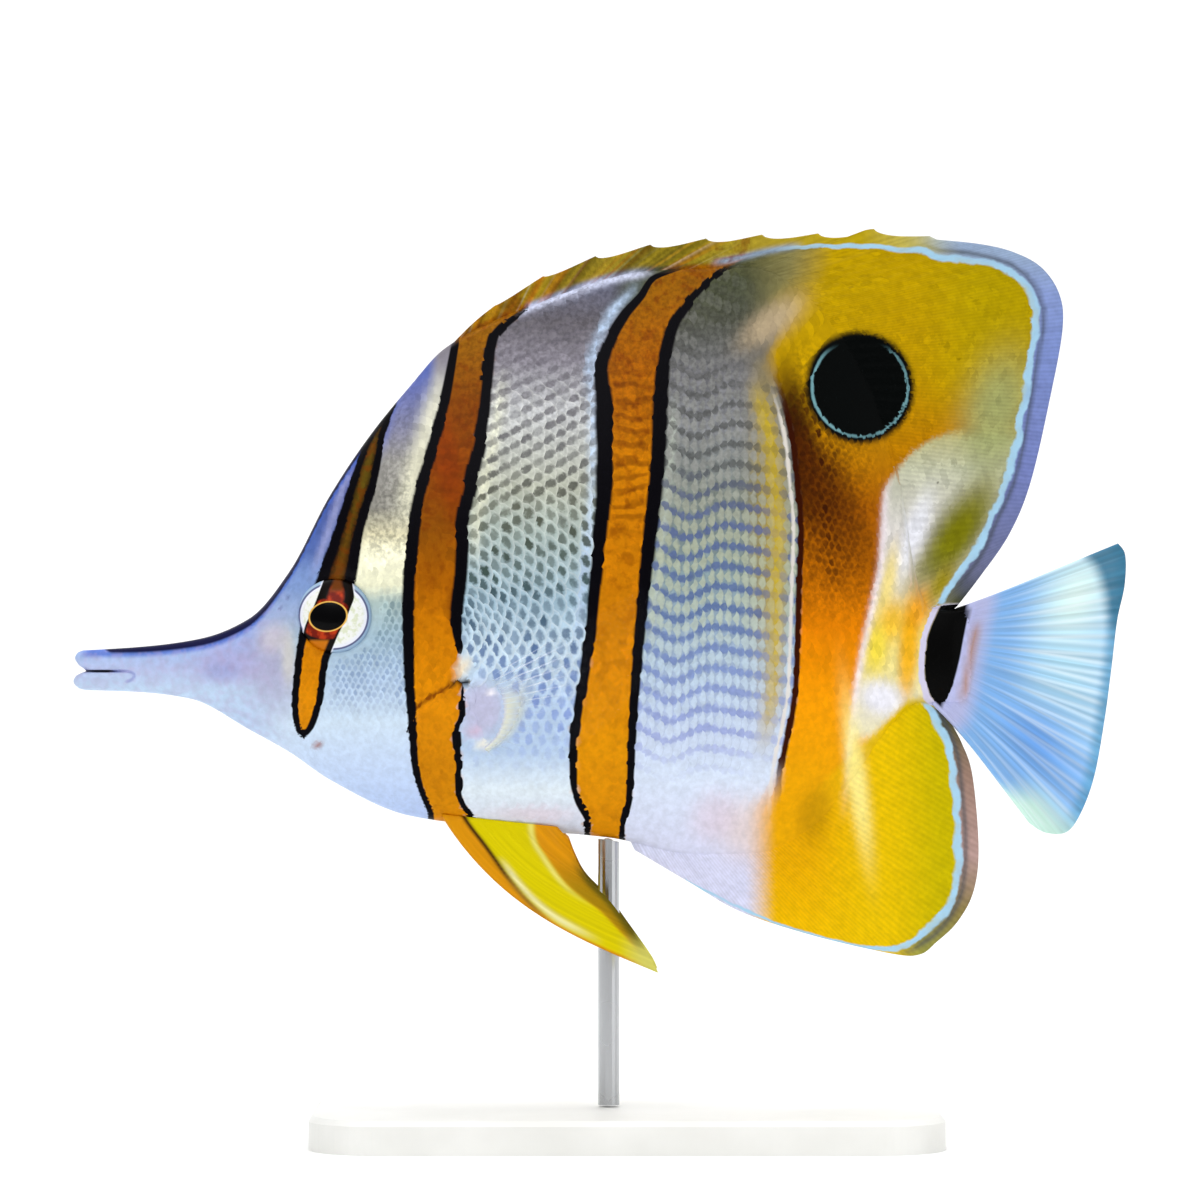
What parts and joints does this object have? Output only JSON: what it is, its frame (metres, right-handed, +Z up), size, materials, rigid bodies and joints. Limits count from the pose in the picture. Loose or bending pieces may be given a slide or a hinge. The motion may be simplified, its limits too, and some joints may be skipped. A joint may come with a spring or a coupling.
{
  "type": "copperband butterflyfish model",
  "caption": "Life-size still model of a banded, long-snouted, deep-bodied reef butterflyfish with spread fins, held level on a plain display stand.",
  "frame": {"origin": "on the floor under the middle of the model's bounding box, with the underside of the stand's base at zero height", "axes": "-X towards the snout and +X towards the tail, -Y towards the fish's left side, which the picture shows, and +Z up"},
  "size_m": [0.1578, 0.052, 0.1362],
  "materials": {
    "skin": "silver-blue scaled skin with black-edged orange bands, satin, with fine scales in relief",
    "eye": "glossy eye with a black pupil, a thin gold rim and an ivory and orange iris",
    "fin": "scaled and rayed fin, yellow to orange with pale blue lines, satin",
    "clear_fin": "thin rayed fin, pale blue to clear, satin",
    "stand_base": "plain satin off-white",
    "stand_rod": "plain satin steel"
  },
  "bodies": {
    "root": {"upper_jaw": "skin", "lower_jaw": "skin", "snout": "skin", "head": "skin", "torso": "skin", "tail_base": "skin", "gill_cover_left": "skin", "gill_cover_right": "skin", "eye_left": "eye", "eye_right": "eye", "dorsal_fin_spiny": "fin", "dorsal_fin_soft": "fin", "anal_fin": "fin", "pelvic_fin_left": "fin", "pelvic_fin_right": "fin", "tail_fin": "clear_fin", "pectoral_fin_left": "clear_fin", "pectoral_fin_right": "clear_fin", "stand_base": "stand_base", "stand_rod": "stand_rod"}
  },
  "joints": []
}
